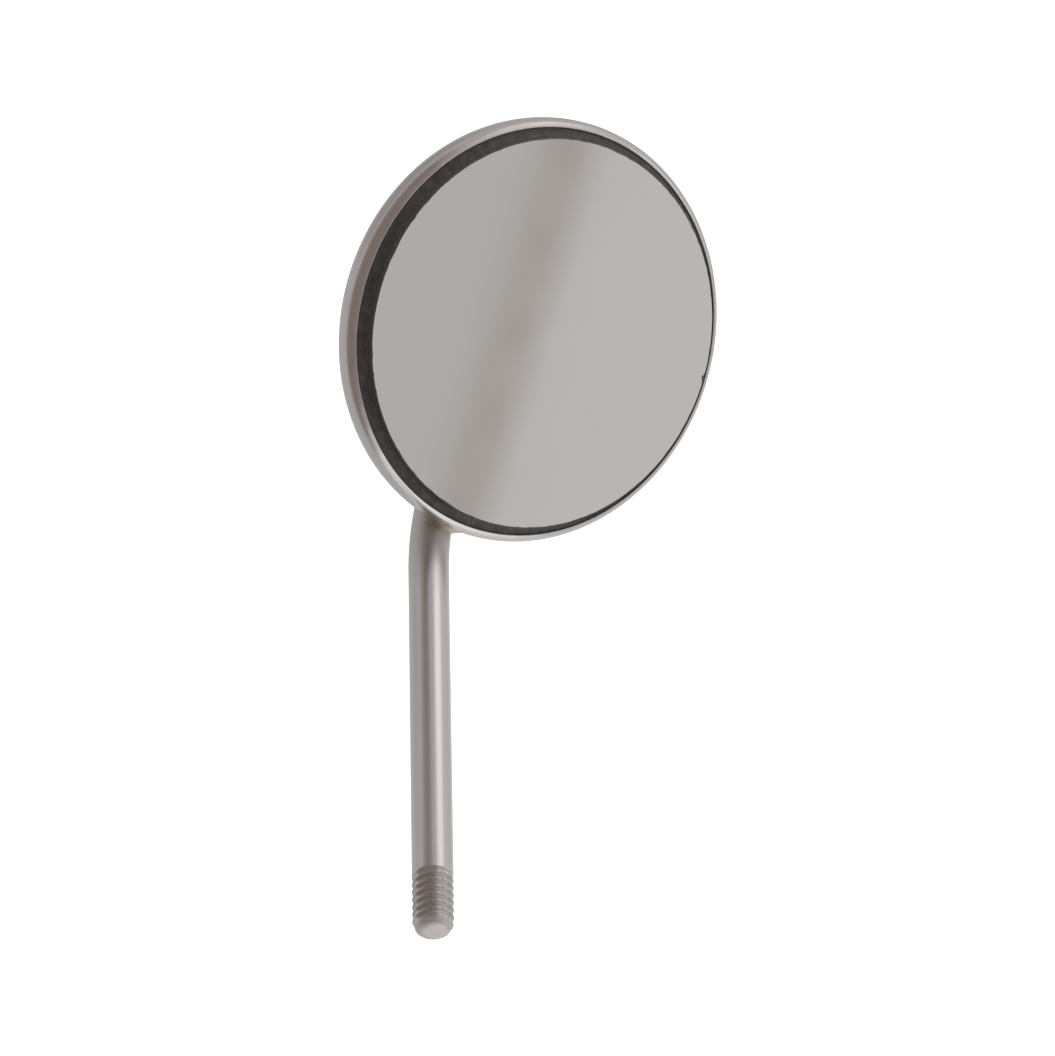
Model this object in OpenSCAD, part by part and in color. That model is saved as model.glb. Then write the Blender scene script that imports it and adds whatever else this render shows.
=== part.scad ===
// Mouth mirror head with its bent, threaded stem, in millimetres.
// +Z runs along the straight stem towards its free, threaded end, and the origin is on the stem's
// axis where the full thread starts. The mirror faces -Y and upwards. X = 0 is the plane of symmetry.

/* [Mirror] */
// Diameter of the reflecting face
face_d = 24; // [18:0.5:30]
// Thickness of the glass disc
glass_t = 2.2; // [1.4:0.1:2.3]
// Height of the reflecting face above the cup's lip
face_rise = 0.8; // [0.4:0.1:1.2]
// Thickness drawn for the reflecting film, which is far thinner in reality
film_t = 0.03; // [0.02:0.01:0.05]
// Flat ground on the glass's edges
glass_bevel = 0.06; // [0.03:0.01:0.1]

/* [Cup] */
// Depth of the cup from its lip to its back
cup_depth = 3; // [2.8:0.1:3.4]
// Thickness of the pressed sheet
sheet_t = 0.5; // [0.4:0.05:0.6]
// Radius of the rounded corner between wall and back
cup_corner_r = 2.2; // [1.8:0.1:2.2]
// Gap between the glass and the inside of the lip
seal_gap = 0.54; // [0.3:0.01:0.6]
// Width of the lip's top edge
lip_w = 0.14; // [0.1:0.01:0.3]
// How far the lip is rolled in from the widest part of the wall
roll_in = 0.41; // [0.3:0.01:0.6]
// Height of the rolled stretch
roll_h = 0.75; // [0.6:0.05:0.8]

/* [Stem] */
// Diameter of the stem and of its thread
stem_d = 2.5; // [2:0.1:3]
// Length of the straight stem between thread and bend
shank_len = 22.4; // [15:0.1:35]
// Radius of the bend, on the stem's axis
bend_r = 13.2; // [10:0.1:16]
// Angle between the stem and the plane of the mirror
mirror_angle = 40; // [30:1:50]
// Distance along the back from the end of the bend to the middle of the head
neck_reach = 7.5; // [6.5:0.1:9]
// Length of straight neck lying on the back
neck_end = 0.8; // [0.5:0.1:1.5]
// Depth to which the neck is let into the cup's back
neck_sink = 0.4; // [0.2:0.05:0.6]

/* [Thread] */
// Distance between two crests
pitch = 0.52; // [0.4:0.01:0.55]
// Number of full turns
turns = 5; // [4:1:10]
// Width of the run-out groove at the start of the thread
runout_w = 0.56; // [0.55:0.01:0.8]
// Radius that rounds the end of the stem
tip_r = 0.8; // [0.4:0.05:0.9]

/* [Braze] */
// How far the braze spreads out from the neck
braze_w = 0.7; // [0.4:0.05:1]
// Height of the braze on the cup's back
braze_h = 0.6; // [0.4:0.05:0.8]
// Height of the braze where it climbs the cup's corner
braze_top = 2.4; // [2:0.1:2.6]

/* [Hidden] */
$fn = 96;
face_r = face_d / 2;
glass_r = face_r + glass_bevel;
lip_in_r = glass_r + seal_gap;
lip_out_r = lip_in_r + lip_w;
cup_r = lip_out_r + roll_in;
wall_in_r = cup_r - sheet_t;
corner_c = [cup_r - cup_corner_r, cup_corner_r - cup_depth];
// the rolled lip is an arc from the widest wall up to the lip's top edge
roll_r = (pow(roll_in, 2) + pow(roll_h, 2)) / (2 * roll_in);
roll_c = [cup_r - roll_r, -roll_h];
roll_a = asin(roll_h / roll_r);
glass_top = face_rise - film_t;
glass_bottom = face_rise - film_t - glass_t;
stem_r = stem_d / 2;
// neck and head, in the head's own frame and then in the part's
neck_depth = cup_depth + stem_r - neck_sink;
arc_end_y = -bend_r * (1 - cos(mirror_angle));
arc_end_z = -runout_w - shank_len - bend_r * sin(mirror_angle);
head_y = arc_end_y - neck_reach * sin(mirror_angle) - neck_depth * cos(mirror_angle);
head_z = arc_end_z - neck_reach * cos(mirror_angle) + neck_depth * sin(mirror_angle);
// thread proportions of a 60 degree V thread
thread_depth = 0.6134 * pitch;
crest_w = pitch / 8;
root_w = pitch / 4;
thread_len = turns * pitch + crest_w;
tip_z = thread_len + tip_r;
eps = 0.01;

function arc_points(c, r, a0, a1, n) =
    [for (i = [0:n]) c + r * [cos(a0 + (a1 - a0) * i / n), sin(a0 + (a1 - a0) * i / n)]];

// Outside of the cup from the middle of its back to the lip's outer edge, as radius and height.
function cup_outside() = concat(
    [[0, -cup_depth]],
    arc_points(corner_c, cup_corner_r, -90, 0, 16),
    arc_points(roll_c, roll_r, 0, roll_a, 8));

// Inside of the cup from the lip's inner edge to the middle of its floor.
function cup_inside() = concat(
    [[lip_in_r, 0], [lip_in_r, -0.3 * roll_h], [wall_in_r, -roll_h]],
    arc_points(corner_c, cup_corner_r - sheet_t, 0, -90, 16),
    [[0, sheet_t - cup_depth]]);

// One V groove of the thread, from its lower to its upper crest, as radius and height.
function groove(z) = let (flank = (pitch - crest_w - root_w) / 2)
    [[stem_r, z], [stem_r - thread_depth, z + flank],
     [stem_r - thread_depth, z + flank + root_w], [stem_r, z + 2 * flank + root_w]];

// Draws a child on the head's axis: lip plane at z = 0, mirror up, stem on the +Y side.
module in_head() {
    translate([0, head_y, head_z])
        rotate([90 - mirror_angle, 0, 0])
            children();
}

module turned(points) {
    rotate_extrude()
        polygon(points);
}

// The whole outer shape of the cup, without its hollow.
module cup_solid() {
    turned(concat(cup_outside(), [[0, 0]]));
}

// The space inside the cup, from z0 up to z1 and from r0 outwards.
module cup_hollow(r0, z0, z1) {
    rotate_extrude()
        intersection() {
            polygon(concat(cup_inside(), [[0, 0]]));
            translate([r0, z0])
                square([cup_r, z1 - z0]);
        }
}

// Straight stem with ring grooves for its thread and a rounded end.
module threaded_shank() {
    turned(concat(
        [[0, -runout_w - shank_len], [stem_r, -runout_w - shank_len], [stem_r, -runout_w],
         [stem_r - thread_depth, -0.75 * runout_w], [stem_r - thread_depth, -0.4 * runout_w]],
        [[stem_r, 0]],
        [for (i = [0:turns - 1]) each groove(crest_w + i * pitch)],
        [[stem_r, thread_len]],
        arc_points([stem_r - tip_r, thread_len], tip_r, 0, 90, 10),
        [[0, tip_z]]));
}

module bent_neck() {
    translate([0, -bend_r, -runout_w - shank_len])
        rotate([0, 90, 0])
            rotate([0, 0, 90 - mirror_angle])
                rotate_extrude(angle = mirror_angle)
                    translate([bend_r, 0])
                        circle(d = stem_d);
}

// Short straight end of the neck along the cup's back, closed by a half ball.
module neck_on_back() {
    in_head()
        translate([0, neck_reach, -neck_depth]) {
            rotate([90, 0, 0])
                cylinder(d = stem_d, h = neck_end);
            translate([0, -neck_end, 0])
                sphere(d = stem_d);
        }
}

module whole_stem() {
    threaded_shank();
    bent_neck();
    neck_on_back();
}

module stem() {
    color("silver")
        difference() {
            whole_stem();
            in_head()
                cup_solid();
        }
}

module mirror_cup() {
    color("lightgray")
        in_head()
            turned(concat(cup_outside(), cup_inside()));
}

// Braze round the neck: a rounded block let into the cup's back and corner, cut by neck and cup.
module braze_fillet() {
    pad_r = stem_r + braze_w;
    pad_z = -cup_depth - braze_h;
    color("darkgray")
        difference() {
            in_head() {
                translate([0, neck_reach, pad_z])
                    cylinder(r = pad_r, h = 2 * braze_h);
                translate([0, cup_r - cup_corner_r, pad_z])
                    cylinder(r = pad_r, h = braze_top);
            }
            whole_stem();
            in_head()
                cup_solid();
        }
}

module mirror_glass() {
    color("#c9ded8")
        in_head()
            turned([[0, glass_bottom], [face_r, glass_bottom],
                    [glass_r, glass_bottom + glass_bevel], [glass_r, glass_top - glass_bevel],
                    [face_r, glass_top], [0, glass_top]]);
}

module reflective_coating() {
    color("whitesmoke")
        in_head()
            translate([0, 0, glass_top])
                cylinder(r = face_r, h = film_t);
}

// Black cement between the glass and the lip, sloping down from the glass to the lip.
module edge_seal() {
    color("#262422")
        in_head() {
            difference() {
                cup_hollow(0, glass_bottom, -eps);
                translate([0, 0, glass_bottom - 1])
                    cylinder(r = glass_r, h = glass_t + 2);
            }
            turned([[glass_r, -2 * eps], [lip_in_r, -2 * eps], [lip_in_r, -eps],
                    [glass_r, 0.35 * face_rise]]);
        }
}

module cement_bed() {
    color("#5a5650")
        in_head()
            cup_hollow(0, -cup_depth, glass_bottom);
}

stem();
mirror_cup();
braze_fillet();
mirror_glass();
reflective_coating();
edge_seal();
cement_bed();
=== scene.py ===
# %% [markdown]
# # A mouth mirror head
#
# This lesson builds the looks of a dentist's mirror: a glass disc with a bright metal film, cemented into a
# pressed steel cup, on a bent steel stem with a screw thread. The sizes were settled earlier in CAD. Blender
# adds what the eye sees: the true helix of the thread, the rolled lip, the braze round the neck, the black
# cement, and the finish of each surface. Everything is modelled in millimetres and scaled to metres last.

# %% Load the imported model
from math import atan2, cos, degrees, hypot, pi, radians, sin, sqrt

import bmesh
import bpy
from mathutils import Matrix, Vector, noise


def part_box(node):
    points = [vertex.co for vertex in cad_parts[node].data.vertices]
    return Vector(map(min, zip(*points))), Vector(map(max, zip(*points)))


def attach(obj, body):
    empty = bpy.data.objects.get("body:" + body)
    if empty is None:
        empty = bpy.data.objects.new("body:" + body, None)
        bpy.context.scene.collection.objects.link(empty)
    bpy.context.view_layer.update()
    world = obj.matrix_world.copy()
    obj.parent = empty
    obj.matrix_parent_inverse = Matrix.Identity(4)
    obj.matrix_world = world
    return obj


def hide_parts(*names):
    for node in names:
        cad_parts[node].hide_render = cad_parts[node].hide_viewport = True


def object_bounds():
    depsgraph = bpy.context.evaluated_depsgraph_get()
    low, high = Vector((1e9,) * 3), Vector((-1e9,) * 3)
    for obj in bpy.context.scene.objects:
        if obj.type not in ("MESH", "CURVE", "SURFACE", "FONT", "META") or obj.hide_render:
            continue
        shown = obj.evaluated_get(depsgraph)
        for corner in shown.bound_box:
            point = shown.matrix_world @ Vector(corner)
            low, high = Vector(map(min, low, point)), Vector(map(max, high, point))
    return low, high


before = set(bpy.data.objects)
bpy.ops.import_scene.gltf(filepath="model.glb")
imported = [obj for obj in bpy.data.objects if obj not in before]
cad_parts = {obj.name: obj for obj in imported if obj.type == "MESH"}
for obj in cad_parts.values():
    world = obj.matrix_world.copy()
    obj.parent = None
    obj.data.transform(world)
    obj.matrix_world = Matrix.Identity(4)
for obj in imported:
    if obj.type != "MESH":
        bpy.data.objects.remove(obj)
cad_low, cad_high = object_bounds()
MM = 0.001
print("CAD box in mm:", [round(side / MM, 2) for side in cad_high - cad_low])

# %% [markdown]
# ## Sizes and the head's own axes
#
# The stem runs along Z, and the head is tilted against it. It is much easier to model a round cup upright,
# about its own axis, and to tilt it afterwards. So every head piece is drawn with the lip's plane at
# z = 0, the mirror facing up and the stem on the +Y side, and one matrix then carries it into place. The
# matrix comes from the glass disc in the CAD model: a disc's box is centred on the disc's own middle,
# however it is tilted.

# %% Sizes in millimetres
MIRROR_ANGLE = radians(40)
FACE_R = 12.0
FACE_RISE = 0.8
FILM_T = 0.03
GLASS_T = 2.2
GLASS_R = 12.06
LIP_IN_R = 12.6
LIP_OUT_R = 12.74
CUP_R = 13.15
CUP_DEPTH = 3.0
SHEET_T = 0.5
CORNER_R = 2.2
ROLL_H = 0.75
LIP_EDGE_H = 0.3 * ROLL_H
STEM_R = 1.25
SHANK_END = -22.96
BEND_R = 13.2
NECK_REACH = 7.5
NECK_END = 0.8
NECK_SINK = 0.4
NECK_DEPTH = CUP_DEPTH + STEM_R - NECK_SINK
PITCH = 0.52
FULL_TURNS = 5
THREAD_START = -0.56
THREAD_END = FULL_TURNS * PITCH + PITCH / 8
TIP_R = 0.8
print("threaded length in mm:", round(THREAD_END - THREAD_START, 2))

# %% The matrix that tilts the head into place
facing = Vector((0, -cos(MIRROR_ANGLE), sin(MIRROR_ANGLE)))
glass_low, glass_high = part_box("mirror_glass")
glass_middle = (Vector(glass_low) + Vector(glass_high)) / 2
head_middle = glass_middle - facing * (FACE_RISE - FILM_T - GLASS_T / 2) * MM
head_tilt = radians(90) - MIRROR_ANGLE
STEM_PLACE = Matrix.Scale(MM, 4)
HEAD_PLACE = Matrix.Translation(head_middle) @ Matrix.Rotation(head_tilt, 4, "X") @ STEM_PLACE
print("middle of the lip in mm:", [round(c / MM, 2) for c in head_middle])

# %% [markdown]
# ## The camera
#
# The camera looks at the mirror from about 32 degrees off the mirror's own axis. The lens is long and far
# away, so the two edges of the stem stay almost parallel. The part stands with its stem up here, and the
# view that is wanted has the stem pointing down, so the camera is rolled half a turn.

# %% Camera
AZIMUTH, ELEVATION, ROLL = radians(40.27), radians(35.75), radians(178.69)
AIM_RIGHT, AIM_UP = -0.635, -11.998
DISTANCE = 451.9
camera_back = Vector((sin(AZIMUTH) * cos(ELEVATION), -cos(AZIMUTH) * cos(ELEVATION), sin(ELEVATION)))
level_right = Vector((cos(AZIMUTH), sin(AZIMUTH), 0))
level_up = camera_back.cross(level_right)
camera_right = level_right * cos(ROLL) + level_up * sin(ROLL)
camera_up = camera_back.cross(camera_right)
aim = head_middle + (camera_right * AIM_RIGHT + camera_up * AIM_UP) * MM
camera_data = bpy.data.cameras.new("camera")
camera_data.lens = 251.5
camera_data.sensor_width = 36
camera_data.clip_start, camera_data.clip_end = 0.01, 20
camera = bpy.data.objects.new("camera", camera_data)
axes = Matrix((camera_right, camera_up, camera_back)).transposed().to_4x4()
camera.matrix_world = Matrix.Translation(aim + camera_back * DISTANCE * MM) @ axes
bpy.context.collection.objects.link(camera)
bpy.context.scene.camera = camera
print("line of sight and mirror's axis are", round(degrees(camera_back.angle(facing)), 1), "degrees apart")

# %% [markdown]
# ## Helpers for colours, nodes and pieces
#
# Colours are written as the hex codes a painter would pick, which are gamma coded, while shaders work with
# linear light. One function does the change. Another adds a shader node with its settings and links in one
# call, and a third starts an empty material. The piece helpers make a turned shape, an arc for its profile,
# and the finished object, which rides with the part and stands for its CAD node.

# %% Colour and node helpers
def colour(code):
    """Linear RGBA from an sRGB hex code."""
    channels = [int(code[i : i + 2], 16) / 255 for i in (1, 3, 5)]
    return [c / 12.92 if c <= 0.04045 else ((c + 0.055) / 1.055) ** 2.4 for c in channels] + [1.0]


def add_node(tree, kind, settings=None, **inputs):
    """A new node. In input names _ is a space and i0 is the first one. A socket as value is linked."""
    node = tree.nodes.new(kind)
    for name, value in (settings or {}).items():
        setattr(node, name, value)
    for name, value in inputs.items():
        key = int(name[1:]) if name[0] == "i" and name[1:].isdigit() else name.replace("_", " ")
        socket = node.inputs[key]
        if isinstance(value, bpy.types.NodeSocket):
            tree.links.new(value, socket)
        else:
            socket.default_value = value
    return node


def new_material(name):
    """An empty Principled material: the material, its tree and its shader."""
    material = bpy.data.materials.new(name)
    material.use_nodes = True
    return material, material.node_tree, material.node_tree.nodes["Principled BSDF"]


print("the grey #808080 is", round(colour("#808080")[0], 3), "in linear light")

# %% Piece helpers
MERGE_DISTANCE = 1e-4
CREASE = radians(35)


def turn(points, steps, closed=False):
    """A bmesh lathed about Z from points of (radius, height)."""
    bm = bmesh.new()
    verts = [bm.verts.new((r, 0, z)) for r, z in points]
    edges = [bm.edges.new(pair) for pair in zip(verts, verts[1:])]
    if closed:
        edges.append(bm.edges.new((verts[-1], verts[0])))
    bmesh.ops.spin(bm, geom=verts + edges, cent=(0, 0, 0), axis=(0, 0, 1), dvec=(0, 0, 0),
                   angle=2 * pi, steps=steps, use_merge=True, use_duplicate=False)
    bmesh.ops.remove_doubles(bm, verts=bm.verts, dist=MERGE_DISTANCE)
    return bm


def arc(centre, radius, start, end, steps):
    """Points of an arc in the (radius, height) plane, angles in degrees."""
    angles = [radians(start + (end - start) * i / steps) for i in range(steps + 1)]
    return [(centre[0] + radius * cos(a), centre[1] + radius * sin(a)) for a in angles]


def finish_piece(bm, name, node, material, place):
    """Makes the object: normals out, in place, smooth but for edges sharper than the crease."""
    bmesh.ops.recalc_face_normals(bm, faces=bm.faces)
    bmesh.ops.transform(bm, matrix=place, verts=bm.verts)
    for face in bm.faces:
        face.smooth = True
    mesh = bpy.data.meshes.new(name)
    bm.to_mesh(mesh)
    bm.free()
    mesh.set_sharp_from_angle(angle=CREASE)
    mesh.materials.append(material)
    piece = bpy.data.objects.new(name, mesh)
    bpy.context.collection.objects.link(piece)
    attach(piece, "root")
    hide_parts(node)
    print(name, len(mesh.vertices), "points,", len(mesh.polygons), "faces")


print("a quarter circle in 10 steps has", len(arc((0, 0), 1, 0, 90, 10)), "points")

# %% [markdown]
# ## Steel finishes
#
# The stem is stainless rod, ground and then buffed: a grey metal with a faint warm tone and very fine marks
# along its length, which break up a highlight at its edges. The cup is pressed from sheet and tumbled with
# steel shot, so its marks have no direction and it looks softer. Both are made the same way: a metal shader
# whose roughness wanders a little over a few millimetres, with a very shallow bump for the marks. Real marks
# are 0.01 to 0.03 mm wide, and they are drawn at 0.06 to 0.12 mm so that they show at all.

# %% Steel
DRIFT_MM = 2.0
DRIFT_DOWN, DRIFT_UP = 0.04, 0.05


def wander(tree, vector, size_mm, low, high, detail=3.0):
    """Soft noise of a given size in millimetres, between two values."""
    cloud = add_node(tree, "ShaderNodeTexNoise", Vector=vector, Scale=1 / (size_mm * MM), Detail=detail)
    return add_node(tree, "ShaderNodeMapRange", Value=cloud.outputs["Fac"], From_Min=0.3, From_Max=0.7,
                    To_Min=low, To_Max=high).outputs["Result"]


def steel(name, code, roughness, marks_mm, depth_mm, stretch=1.0):
    """Stainless steel with fine marks, stretched along Z by the given factor."""
    material, tree, shader = new_material(name)
    place = add_node(tree, "ShaderNodeTexCoord").outputs["Object"]
    drawn = add_node(tree, "ShaderNodeMapping", Vector=place, Scale=(1, 1, 1 / stretch)).outputs["Vector"]
    marks = add_node(tree, "ShaderNodeTexNoise", Vector=drawn, Scale=1 / (marks_mm * MM), Detail=4.0)
    bump = add_node(tree, "ShaderNodeBump", Height=marks.outputs["Fac"], Distance=depth_mm * MM, Strength=1.0)
    drift = wander(tree, drawn, DRIFT_MM, roughness - DRIFT_DOWN, roughness + DRIFT_UP)
    shader.inputs["Base Color"].default_value = colour(code)
    shader.inputs["Metallic"].default_value = 1.0
    tree.links.new(drift, shader.inputs["Roughness"])
    tree.links.new(bump.outputs["Normal"], shader.inputs["Normal"])
    return material


ROD_COLOUR = "#CDC9C7"
ground_rod = steel("ground stainless rod", ROD_COLOUR, 0.22, 0.06, 0.003, stretch=8)
pressed_cup = steel("tumbled stainless sheet", "#CBC6C4", 0.28, 0.10, 0.003)
print("steels:", ground_rod.name, "and", pressed_cup.name)

# %% [markdown]
# ## Where the finishes change
#
# Bending stretches the surface of the rod and the braze torch takes away its shine, so the neck is duller
# than the shank. The turned end of the rod was never buffed and is duller too. The grooves of the thread get
# painted shade: their colour is mixed towards a brownish grey, darkest just past each crest, which stands in
# for the shade that the flanks of a groove cast on each other. The thread's cell stores how much painted
# shade lies at each point in an attribute, and the material mixes its colour by it. On the cup, the press
# tools leave faint rings round the middle, which show as a change in shine only. They are drawn 0.2 mm wide,
# a few times coarser than real ones.

# %% Duller ends and painted groove shade on the rod
BEND_DULL_START, BEND_DULL_END, BEND_DULLER = -20.0, -24.6, 0.22
TIP_DULL_START, TIP_DULL_END, TIP_DULLER = 2.75, 3.0, 0.32


def add_roughness(material, extra):
    """Adds a socket's value to the roughness that a material has so far."""
    tree = material.node_tree
    roughness = tree.nodes["Principled BSDF"].inputs["Roughness"]
    so_far = roughness.links[0].from_socket
    total = add_node(tree, "ShaderNodeMath", {"operation": "ADD"}, i0=so_far, i1=extra)
    tree.links.new(total.outputs["Value"], roughness)


def duller(material, start_mm, end_mm, amount):
    """Adds roughness that grows between two heights along the stem."""
    tree = material.node_tree
    place = add_node(tree, "ShaderNodeTexCoord").outputs["Object"]
    height = add_node(tree, "ShaderNodeSeparateXYZ", Vector=place).outputs["Z"]
    more = add_node(tree, "ShaderNodeMapRange", Value=height, From_Min=start_mm * MM, From_Max=end_mm * MM,
                    To_Max=amount)
    add_roughness(material, more.outputs["Result"])


duller(ground_rod, BEND_DULL_START, BEND_DULL_END, BEND_DULLER)
duller(ground_rod, TIP_DULL_START, TIP_DULL_END, TIP_DULLER)
# painted shade: the rod's colour in the thread's grooves is mixed towards a brownish grey, by the amount
# stored on their points
tree = ground_rod.node_tree
groove_shade = add_node(tree, "ShaderNodeAttribute", {"attribute_name": "groove_shade"}).outputs["Fac"]
groove_shaded = add_node(tree, "ShaderNodeMix", {"data_type": "RGBA"}, Factor=groove_shade, A=colour(ROD_COLOUR),
                 B=colour("#A69E99"))
tree.links.new(groove_shaded.outputs["Result"], tree.nodes["Principled BSDF"].inputs["Base Color"])
print("rod material has", len(tree.nodes), "nodes")

# %% Rings on the cup
RING_MM = 0.2
RING_AMOUNT = 0.06


def head_axes(tree):
    """Coordinates of the upright head in metres, from a piece's own coordinates."""
    place = add_node(tree, "ShaderNodeTexCoord")
    return add_node(tree, "ShaderNodeMapping", {"vector_type": "TEXTURE"}, Vector=place.outputs["Object"],
                    Location=head_middle, Rotation=(head_tilt, 0, 0)).outputs["Vector"]


def draw_rings(material, width_mm, amount):
    """Faint rings round the head's axis, as a change in roughness."""
    tree = material.node_tree
    upright = head_axes(tree)
    flat = add_node(tree, "ShaderNodeVectorMath", {"operation": "MULTIPLY"}, i0=upright, i1=(1, 1, 0))
    from_axis = add_node(tree, "ShaderNodeVectorMath", {"operation": "LENGTH"}, i0=flat.outputs["Vector"])
    height = add_node(tree, "ShaderNodeSeparateXYZ", Vector=upright).outputs["Z"]
    unrolled = add_node(tree, "ShaderNodeCombineXYZ", X=from_axis.outputs["Value"], Z=height)
    add_roughness(material, wander(tree, unrolled.outputs["Vector"], width_mm, -amount, amount))


draw_rings(pressed_cup, RING_MM, RING_AMOUNT)
print("cup material has", len(pressed_cup.node_tree.nodes), "nodes")

# %% [markdown]
# ## The stem
#
# The real stem is one rod: its end is rounded on a lathe, the thread is rolled on, and the neck is bent over
# a former. The same order works here. The rod is lathed from a profile with closely spaced rings where the
# thread will be. The thread is then cut by moving points towards the axis: how deep depends on the height
# and on how far round the point sits, which makes a true helix. Because a point only ever moves inwards,
# the groove runs out by itself on the rounded tip. Then the open ring at the bottom is swept round the bend
# by a spin, run on along the cup's back and closed with a ball end. Bending also squeezes the rod a little,
# so the neck is slightly wider than the shank.

# %% Rod with close rings for the thread
RINGS_PER_PITCH = 20
TIP_STEPS, SHANK_STEPS, ROD_STEPS = 24, 12, 128
tip_z = THREAD_END + TIP_R
tip = [(0, tip_z)] + arc((STEM_R - TIP_R, THREAD_END), TIP_R, 90, 0, TIP_STEPS)
ring_gap = PITCH / RINGS_PER_PITCH
thread_rings = int((THREAD_END - THREAD_START + PITCH) / ring_gap)
threaded = [(STEM_R, THREAD_END - ring_gap * i) for i in range(1, thread_rings)]
shank_top = threaded[-1][1]
shank = [(STEM_R, shank_top + (SHANK_END - shank_top) * i / SHANK_STEPS) for i in range(1, SHANK_STEPS + 1)]
stem = turn(tip + threaded + shank, ROD_STEPS)
print("rod:", thread_rings, "rings for the thread,", len(stem.verts), "points")

# %% Thread and its painted groove shade
THREAD_DEPTH = 0.23
CREST_SHARPNESS = 0.75
TIP_GROOVE = 0.5
RUN_IN = 0.6 * PITCH
# where the painted groove shade is strongest and where it is gone within a turn, and where it fades out
# before the tip
SHADE_PEAK, SHADE_GONE = 0.12, 0.5
LAST_SHADE, FULL_SHADE = THREAD_END + 0.15, THREAD_END - 0.05
TIP_GROOVE_GONE, TIP_GROOVE_FULL = tip_z - 0.2, tip_z - 0.5
NEAR_AXIS = 0.1


def share(value, start, end):
    """How far a value has come from start to end: 0 before the start and 1 after the end."""
    return min(1.0, max(0.0, (value - start) / (end - start)))


def groove_depth(turns):
    """Depth of the groove at a share of one turn: narrow crests, and a round root left by the rolls."""
    wave = 0.5 - 0.5 * cos(2 * pi * turns)
    return THREAD_DEPTH * wave**CREST_SHARPNESS


def groove_shade_at(turns):
    """Painted shade at a share of one turn: most just past each crest, on the side towards the tip, then
    fading.
    """
    past_crest = turns % 1.0
    return share(past_crest, 0, SHADE_PEAK) * share(past_crest, SHADE_GONE, 0)


# each point of the thread stores how much painted shade its groove gets, and the rod's material darkens its
# colour by it
groove_shade_layer = stem.verts.layers.float.new("groove_shade")
for vert in stem.verts:
    radius = hypot(vert.co.x, vert.co.y)
    if vert.co.z < THREAD_START or radius < NEAR_AXIS:
        continue
    round_share = atan2(vert.co.y, vert.co.x) / (2 * pi)
    turns = vert.co.z / PITCH - round_share
    run_in = share(vert.co.z, THREAD_START, THREAD_START + RUN_IN)
    before_tip = share(vert.co.z, LAST_SHADE, FULL_SHADE)
    vert[groove_shade_layer] = groove_shade_at(turns) * run_in * before_tip
    depth = groove_depth(turns) * run_in
    over_tip = TIP_GROOVE * share(vert.co.z, TIP_GROOVE_GONE, TIP_GROOVE_FULL)
    floor_r = min(STEM_R - depth, radius - over_tip * depth)
    if floor_r < radius:
        vert.co.x *= floor_r / radius
        vert.co.y *= floor_r / radius
print("thread cut", THREAD_DEPTH, "mm deep at", PITCH, "mm pitch")

# %% Neck
BEND_SWELL = 0.07
BEND_STEPS = 32
BALL_STEPS = 10
open_edges = [e for e in stem.edges if e.is_boundary]
bend = bmesh.ops.spin(stem, geom=open_edges, cent=(0, -BEND_R, SHANK_END), axis=(-1, 0, 0),
                      dvec=(0, 0, 0), angle=MIRROR_ANGLE, steps=BEND_STEPS, use_merge=False,
                      use_duplicate=False)
along_back = Vector((0, -sin(MIRROR_ANGLE), -cos(MIRROR_ANGLE)))
last_edges = [e for e in bend["geom_last"] if isinstance(e, bmesh.types.BMEdge)]
for step in range(BALL_STEPS + 1):
    new = bmesh.ops.extrude_edge_only(stem, edges=last_edges)["geom"]
    ring = [v for v in new if isinstance(v, bmesh.types.BMVert)]
    last_edges = [e for e in new if isinstance(e, bmesh.types.BMEdge)]
    middle = sum((v.co for v in ring), Vector()) / len(ring)
    if step == 0:
        # the straight end of the neck, then rings of the ball that get smaller
        bmesh.ops.translate(stem, verts=ring, vec=along_back * NECK_END)
        ball_middle = middle + along_back * NECK_END
        continue
    angle = radians(90) * step / BALL_STEPS
    for vert in ring:
        spoke = (vert.co - middle).normalized()
        vert.co = ball_middle + spoke * STEM_R * cos(angle) + along_back * STEM_R * sin(angle)
for vert in stem.verts:
    into_bend = share(vert.co.z, SHANK_END, SHANK_END - BEND_R)
    vert.co.x *= 1 + BEND_SWELL * into_bend * into_bend * (3 - 2 * into_bend)
bmesh.ops.remove_doubles(stem, verts=stem.verts, dist=MERGE_DISTANCE)
finish_piece(stem, "threaded_stem", "stem", ground_rod, STEM_PLACE)

# %% [markdown]
# ## The cup
#
# The cup is drawn from sheet in a press, so its back and wall meet in a round corner. When the glass is in,
# the lip is rolled inwards over the cement. The roller leaves the lip very slightly uneven. The profile
# is lathed in one go, outside and inside, and the lip's points are then nudged by a few hundredths of a
# millimetre of noise.

# %% Cup
# the roll stops this many degrees short of the lip's plane, where the rounding of the lip takes over
LIP_BLEND = 12
CUP_STEPS = 240
corner = (CUP_R - CORNER_R, CORNER_R - CUP_DEPTH)
roll_in = CUP_R - LIP_OUT_R
roll_r = (roll_in**2 + ROLL_H**2) / (2 * roll_in)
roll_middle = (CUP_R - roll_r, -ROLL_H)
roll_end = degrees(atan2(ROLL_H, roll_r - roll_in))
outside = arc(corner, CORNER_R, -90, 0, 24) + arc(roll_middle, roll_r, 0, roll_end - LIP_BLEND, 14)
lip_round = (LIP_OUT_R - LIP_IN_R) / 2
lip = arc((LIP_IN_R + lip_round, -lip_round), lip_round, 60, 180, 10)
inside = [(LIP_IN_R, -LIP_EDGE_H), (CUP_R - SHEET_T, -ROLL_H)]
inside += arc(corner, CORNER_R - SHEET_T, 0, -90, 16)
cup = turn([(0, -CUP_DEPTH)] + outside + lip + inside + [(0, SHEET_T - CUP_DEPTH)], CUP_STEPS)
print("cup profile has", len(outside) + len(lip) + len(inside) + 2, "points")

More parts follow.
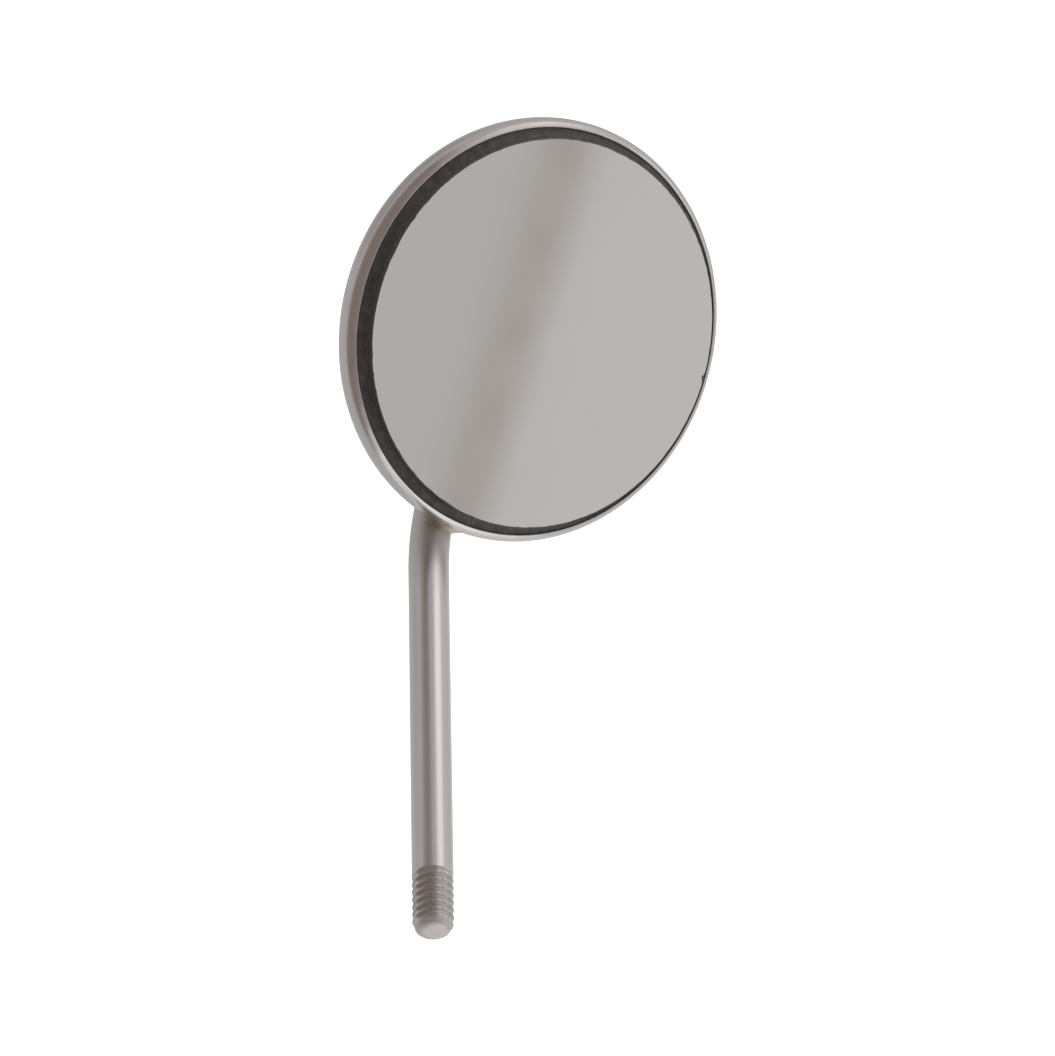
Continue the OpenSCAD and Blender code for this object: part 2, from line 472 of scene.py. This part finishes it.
# %% Uneven lip
LIP_WAVES = ((0.9, 0.02), (3.1, 0.008))
LIP_SUNK = 0.012
INSIDE_LIP = LIP_IN_R - 0.1


def uneven(point, waves):
    """Smooth noise in millimetres, as a sum of (waves per millimetre, height) pairs."""
    return sum(noise.noise(point * fineness) * height for fineness, height in waves)


def lip_waver(point):
    """How far the roller left a point of the lip too high or too low. Nothing below the rolled stretch."""
    return (uneven(point, LIP_WAVES) - LIP_SUNK) * share(point.z, -ROLL_H, 0)


for vert in cup.verts:
    if hypot(vert.co.x, vert.co.y) > INSIDE_LIP:
        vert.co.z += lip_waver(vert.co)
finish_piece(cup, "pressed_cup", "mirror_cup", pressed_cup, HEAD_PLACE)

# %% [markdown]
# ## The braze round the neck
#
# Melted braze creeps into the corner between two parts and sets in a hollow curve. A neat way to model it is
# to start from the very surface it sits on: a patch of the cup, raised where it comes close to the neck. The
# height follows the quarter circle of a fillet, so the patch leaves the cup without a step. Its inner edge
# runs on into the neck, which hides it, but where the neck lifts off the round corner it stands a little
# proud of the neck's side. Away from the neck the patch lies a hair under the cup's surface, where it can't
# be seen. Silver braze is a little yellower than the steel, and less shiny, because it froze from a melt.

# %% Height of the braze
FILLET_R = 0.95
BRAZE_END, BRAZE_THINNING = -0.32, 0.4


def gap_to_neck(x, y, z):
    """Distance from a point, in the head's axes, to the surface of the bent neck."""
    up = BEND_R - NECK_DEPTH - z
    out = y - NECK_REACH
    if out < 0:
        along = max(0.0, -out - NECK_END)
        return sqrt(x * x + along * along + (z + NECK_DEPTH) ** 2) - STEM_R
    return hypot(x, hypot(out, up) - BEND_R) - STEM_R


def fillet_height(gap):
    """Height of a quarter-circle fillet at a distance from the neck."""
    reach = min(0.999, share(gap, FILLET_R, 0))
    return FILLET_R * (1 - sqrt(1 - reach**2))


def braze_height(point):
    """Height of the braze over the cup, which thins out to nothing before it reaches the lip."""
    return fillet_height(gap_to_neck(*point)) * share(point.z, BRAZE_END, BRAZE_END - BRAZE_THINNING)


print("braze is", round(fillet_height(0.3), 2), "mm high at 0.3 mm from the neck")

# %% Braze
silver_braze = steel("polished silver braze", "#BDB4A8", 0.33, 0.12, 0.004)
PATCH_START, PATCH_STEP = 4.1, 0.12
ROLL_FIRST, ROLL_LAST = 6, 30
HALF_PATCH = radians(30)
PATCH_STEPS = 108
UNDER_CUP = 0.015
BRAZE_T = 0.25
flat_steps = int((corner[0] - PATCH_START) / PATCH_STEP)
patch_profile = [(PATCH_START + PATCH_STEP * i, -CUP_DEPTH) for i in range(flat_steps)]
patch_profile += arc(corner, CORNER_R, -90, 0, 30)
patch_profile += arc(roll_middle, roll_r, ROLL_FIRST, ROLL_LAST, 5)
braze = bmesh.new()
chain = [braze.verts.new((0, r, z)) for r, z in patch_profile]
chain_edges = [braze.edges.new(pair) for pair in zip(chain, chain[1:])]
bmesh.ops.rotate(braze, verts=chain, cent=(0, 0, 0), matrix=Matrix.Rotation(-HALF_PATCH, 3, "Z"))
bmesh.ops.spin(braze, geom=chain + chain_edges, cent=(0, 0, 0), axis=(0, 0, 1), dvec=(0, 0, 0),
               angle=2 * HALF_PATCH, steps=PATCH_STEPS, use_merge=False, use_duplicate=False)
bmesh.ops.recalc_face_normals(braze, faces=braze.faces)
braze.normal_update()
# the patch is open, so its normals may point either way: the back of the cup has to face down
if sum(f.normal.z * f.calc_area() for f in braze.faces) > 0:
    bmesh.ops.reverse_faces(braze, faces=braze.faces)
    braze.normal_update()
raised = {v: v.normal * (braze_height(v.co) - UNDER_CUP) for v in braze.verts}
for vert, step in raised.items():
    vert.co.z += lip_waver(vert.co)
    vert.co += step
bmesh.ops.solidify(braze, geom=braze.faces, thickness=BRAZE_T)
finish_piece(braze, "brazed_joint", "braze_fillet", silver_braze, HEAD_PLACE)

# %% [markdown]
# ## Glass, film and cement
#
# The mirror is float glass, ground round with a small bevel, and coated on its front face, so there is no
# double image. Its ground edge is matt and looks dark grey against the cement. The film is a few atoms thick
# in reality and almost perfectly smooth. It gets its own thin disc, a hair uneven at the rim where the
# coating jig held the glass, with one small chip. The gap between glass and lip is filled with black epoxy,
# wiped to a slope by hand, which never comes out perfectly even: glossy in one place, dusty in the next.

# %% Glass
glass_top = FACE_RISE - FILM_T
glass_floor = glass_top - GLASS_T
bevel = GLASS_R - FACE_R
glass_profile = [(0, glass_floor), (FACE_R, glass_floor), (GLASS_R, glass_floor + bevel),
                 (GLASS_R, glass_top - bevel), (FACE_R, glass_top), (0, glass_top)]
float_glass, tree, shader = new_material("float glass")
shader.inputs["Base Color"].default_value = colour("#626261")
shader.inputs["Transmission Weight"].default_value = 0.5
shader.inputs["IOR"].default_value = 1.52
shader.inputs["Roughness"].default_value = 0.25
finish_piece(turn(glass_profile, 192), "glass_disc", "mirror_glass", float_glass, HEAD_PLACE)

# %% Reflecting film
RIM = FACE_R - 0.01
NIBBLE_WAVES, NIBBLE_DEPTH = 2.3, 0.06
CHIP_AT = radians(-171)
CHIP_DEPTH, CHIP_HALF_WIDTH = 0.15, 0.3
rhodium, tree, shader = new_material("vacuum-coated rhodium")
shader.inputs["Base Color"].default_value = colour("#D9D8D6")
shader.inputs["Metallic"].default_value = 1.0
tree.links.new(wander(tree, head_axes(tree), 3.0, 0.02, 0.035), shader.inputs["Roughness"])
film = turn([(0, glass_top), (FACE_R, glass_top), (FACE_R, FACE_RISE), (0, FACE_RISE)], 360)
for vert in film.verts:
    radius = hypot(vert.co.x, vert.co.y)
    if radius > RIM:
        at_rim = Vector((vert.co.x, vert.co.y, 0))
        from_chip = abs(atan2(vert.co.y, vert.co.x) - CHIP_AT) * FACE_R
        nibble = max(0.0, noise.noise(at_rim * NIBBLE_WAVES)) * NIBBLE_DEPTH
        nibble += CHIP_DEPTH * share(from_chip, CHIP_HALF_WIDTH, 0)
        vert.co.x *= 1 - nibble / radius
        vert.co.y *= 1 - nibble / radius
finish_piece(film, "rhodium_film", "reflective_coating", rhodium, HEAD_PLACE)

# %% Black cement
SEAL_SLOPE = ((0, 0.26), (0.08, 0.13), (0.2, 0.03), (0.4, -0.06))
SEAL_AT_LIP = -0.1
SEAL_WAVES = ((1.7, 0.06), (6.0, 0.03))
SEAL_WIPED_R = LIP_IN_R - 0.01


def mottled(name, size_mm, dark, pale, detail=3.0):
    """A material whose colour wanders between two tones: the material, its tree and its shader."""
    material, tree, shader = new_material(name)
    spots = wander(tree, head_axes(tree), size_mm, 0.0, 1.0, detail)
    shade = add_node(tree, "ShaderNodeMix", {"data_type": "RGBA"}, Factor=spots, A=colour(dark),
                     B=colour(pale))
    tree.links.new(shade.outputs["Result"], shader.inputs["Base Color"])
    return material, tree, shader


black_epoxy, tree, shader = mottled("black epoxy cement", 0.5, "#2F2E2D", "#4A4744", detail=5.0)
tree.links.new(wander(tree, head_axes(tree), 0.8, 0.35, 0.6), shader.inputs["Roughness"])
seal_profile = [(GLASS_R + out, height) for out, height in SEAL_SLOPE]
seal_profile += [(LIP_IN_R, SEAL_AT_LIP), (LIP_IN_R, -LIP_EDGE_H), (CUP_R - SHEET_T, -ROLL_H)]
wall_at_floor = corner[0] + sqrt((CORNER_R - SHEET_T) ** 2 - (glass_floor - corner[1]) ** 2)
seal_profile += [(wall_at_floor, glass_floor), (GLASS_R, glass_floor)]
seal = turn(seal_profile, 288, closed=True)
for vert in seal.verts:
    if vert.co.z > SEAL_AT_LIP and hypot(vert.co.x, vert.co.y) < SEAL_WIPED_R:
        vert.co.z += uneven(vert.co, SEAL_WAVES)
finish_piece(seal, "black_seal", "edge_seal", black_epoxy, HEAD_PLACE)

# %% Cement under the glass
# hidden inside the cup, so the plain CAD solid stays: a matt grey paste with fine filler grains
grey_cement, tree, shader = mottled("grey bedding cement", 0.3, "#2E2C2A", "#4A4743")
shader.inputs["Roughness"].default_value = 0.8
for node_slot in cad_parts["cement_bed"].material_slots:
    node_slot.material = grey_cement
print("cement bed carries", grey_cement.name)

# %% [markdown]
# ## The floor
#
# Polished metal has hardly any colour of its own. What we see is the room, so most of the look is made by the
# light. The floor is a pale light table, far enough below for the part's shadow to vanish. It is hidden from
# reflections, because the painted room of the next step has a table of its own.

# %% Floor
FLOOR_DROP = 0.05
FLOOR_HALF = 6.0
floor_mesh = bpy.data.meshes.new("floor")
bm = bmesh.new()
bmesh.ops.create_grid(bm, x_segments=1, y_segments=1, size=FLOOR_HALF)
bmesh.ops.translate(bm, verts=bm.verts, vec=(0, 0, cad_low.z - FLOOR_DROP))
bm.to_mesh(floor_mesh)
bm.free()
pale_table, tree, shader = new_material("pale light table")
shader.inputs["Base Color"].default_value = colour("#F2F2F0")
shader.inputs["Roughness"].default_value = 0.6
shader.inputs["Emission Color"].default_value = colour("#FFFFFF")
shader.inputs["Emission Strength"].default_value = 0.8
floor_mesh.materials.append(pale_table)
floor = bpy.data.objects.new("floor", floor_mesh)
bpy.context.collection.objects.link(floor)
floor.visible_glossy = False
print("floor lies", FLOOR_DROP / MM, "mm below the part")

# %% [markdown]
# ## The room, as the steel sees it
#
# Light cards could be built as objects, but a small polished thing only ever sees their direction. So the
# room is painted straight onto the sky. It starts as a dim, warm grey all round, which is what stays in
# front of the part. Soft-edged round patches are then painted over it, one after the other: a pale tent
# behind the part with its folds, a tall soft box to the upper right, a bright table below and a window far
# to the right. Each patch is a dot product of two directions, turned into a soft mask.

# %% Painting on the sky
world = bpy.data.worlds.new("studio")
bpy.context.scene.world = world
world.use_nodes = True
room = world.node_tree
looking = add_node(room, "ShaderNodeTexCoord").outputs["Generated"]
bpy.context.scene.view_settings.view_transform = "Standard"


def towards(right, up, near):
    """A fixed direction in the room, given along the camera's axes: right, up and towards the camera."""
    return (camera_right * right + camera_up * up + camera_back * near).normalized()


def along(direction):
    """How far a sky direction points along the given one, as a cosine."""
    dot = add_node(room, "ShaderNodeVectorMath", {"operation": "DOT_PRODUCT"}, i0=looking, i1=direction)
    return dot.outputs["Value"]


def near_to(middle, full, fade):
    """A round mask: 1 out to one angle from its middle and 0 after the fade, in degrees."""
    mask = add_node(room, "ShaderNodeMapRange", {"interpolation_type": "SMOOTHSTEP"}, Value=along(middle),
                    From_Min=cos(radians(full + fade)), From_Max=cos(radians(full)))
    return mask.outputs["Result"]


def paint(mask, under, over):
    """The second light over the first one, where the mask says so."""
    mixed = add_node(room, "ShaderNodeMix", {"data_type": "RGBA"}, Factor=mask, A=under, B=over)
    return mixed.outputs["Result"]


def lit(code, strength):
    """A colour of light at a given strength."""
    return [channel * strength for channel in colour(code)[:3]] + [1.0]


print("the soft box stands towards", [round(c, 2) for c in towards(0.62, 0.69, 0.36)])

# %% Room
ROOM_BASE = ("#FFEEE0", 0.30)
ROOM_PATCHES = [
    # the pale tent behind the part, and its right-hand wall that comes further forward
    (towards(0, 0, -1), 95, 8, "#FEFEFF", 0.60),
    (towards(0.60, -0.12, -0.79), 110, 9, "#FEFEFF", 0.60),
    # brighter and darker folds of the tent
    (towards(0.46, -0.36, -0.81), 18, 25, "#FFFEFD", 0.80),
    (towards(-0.50, 0.68, -0.53), 16, 16, "#FFFCF8", 0.42),
    (towards(0.80, 0.58, -0.10), 5, 40, "#FFFDFB", 0.72),
    # the tall soft box to the upper right, and its end nearer to the tent
    (towards(0.62, 0.69, 0.36), 7, 14, "#FFFDFB", 1.02),
    (towards(0.58, 0.81, 0.10), 4, 17, "#FFFDFB", 1.25),
    # the table under the part, its far edge, and a window far to the right
    (towards(0.28, -0.93, 0.26), 13, 25, "#FFFEFD", 1.35),
    (towards(0.10, -0.90, -0.42), 12, 20, "#FFFEFD", 0.85),
    (towards(0.97, 0.14, -0.02), 9, 10, "#FFFEFD", 1.40),
]
light = lit(*ROOM_BASE)
for middle, full, fade, code, strength in ROOM_PATCHES:
    light = paint(near_to(middle, full, fade), light, lit(code, strength))
print(len(ROOM_PATCHES), "patches of light and dark painted on the sky")

# %% [markdown]
# ## What the mirror shows
#
# A flat mirror seen through a long lens shows only a few degrees of the room, so it has almost one tone. The
# tone changes a little from side to side, and a soft darker seam of the tent crosses it. The camera's axes,
# mirrored in the glass, say which part of the sky each point of the mirror shows. That small part of the sky
# gets its own colour ramp across the seam.

# %% Mirror view
SEAM_TILT = radians(16.5)
HALF_VIEW = radians(1.0)
VIEW_FULL, VIEW_FADE = 4, 5
SEAM_TONES = ((0.225, "#CCCAC9"), (0.395, "#BCB6B2"), (0.435, "#BDB7B3"), (0.585, "#D9D6D5"))


def mirrored(direction):
    """A direction as it is after the flat mirror has turned it back."""
    return direction - 2 * direction.dot(facing) * facing


across_seam = mirrored(camera_right) * cos(SEAM_TILT) - mirrored(camera_up) * sin(SEAM_TILT)
seen_in_mirror = -mirrored(camera_back)
seam_at = mirrored(head_middle - camera.matrix_world.translation).normalized().dot(across_seam)
across = add_node(room, "ShaderNodeMapRange", Value=along(across_seam), From_Min=seam_at - HALF_VIEW,
                  From_Max=seam_at + HALF_VIEW)
ramp = add_node(room, "ShaderNodeValToRGB", Fac=across.outputs["Result"])
ramp.color_ramp.interpolation = "EASE"
while len(ramp.color_ramp.elements) < len(SEAM_TONES):
    ramp.color_ramp.elements.new(0.5)
for element, (place, code) in zip(ramp.color_ramp.elements, SEAM_TONES):
    element.position = place
    element.color = colour(code)
sky = paint(near_to(seen_in_mirror, VIEW_FULL, VIEW_FADE), light, ramp.outputs["Color"])
room.links.new(sky, room.nodes["Background"].inputs["Color"])
print("mirror looks towards", [round(c, 2) for c in seen_in_mirror])
